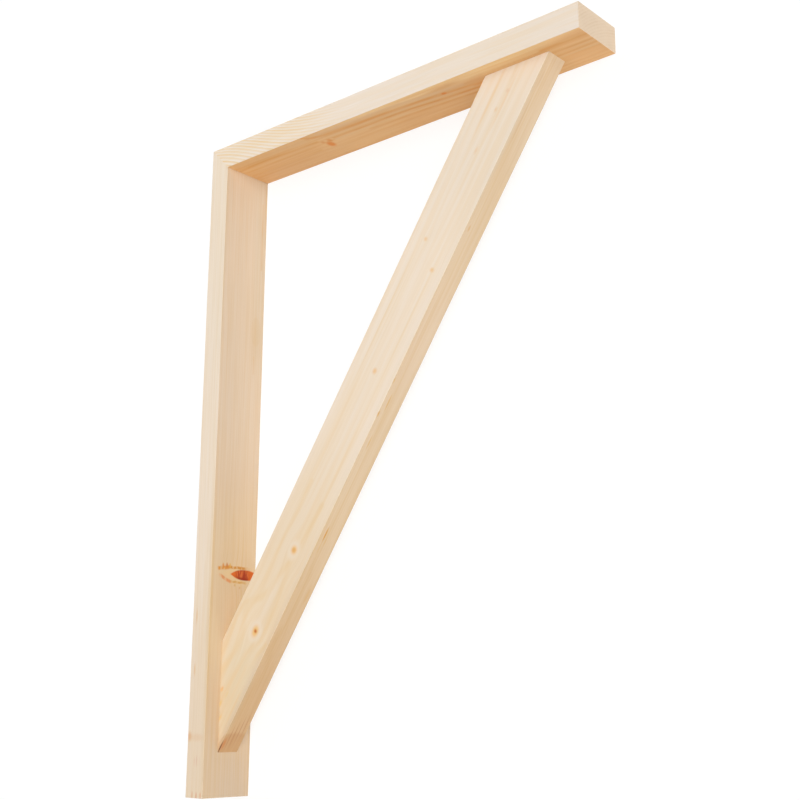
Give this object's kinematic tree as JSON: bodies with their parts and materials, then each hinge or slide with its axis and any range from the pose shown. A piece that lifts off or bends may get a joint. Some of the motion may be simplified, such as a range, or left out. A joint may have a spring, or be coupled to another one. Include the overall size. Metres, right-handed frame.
{
  "type": "timber bracket",
  "caption": "Triangular softwood bracket: an upright leg and a level arm mitred at the corner, with a diagonal brace on edge between them, to carry a shelf or eave off a wall.",
  "frame": {"origin": "middle of the outer sizes in X and Y, on the floor under the side that the bracket lies on", "axes": "+X out from the wall along the arm, +Y up the wall along the leg, +Z up from the floor across the width of the boards; on a wall, +Y is up"},
  "size_m": [0.7112, 1.016, 0.0889],
  "materials": {
    "leg_wood": "planed, unfinished",
    "arm_wood": "planed, unfinished",
    "brace_wood": "planed, unfinished"
  },
  "bodies": {
    "root": {"leg": "leg_wood", "arm": "arm_wood", "brace": "brace_wood"}
  },
  "joints": []
}
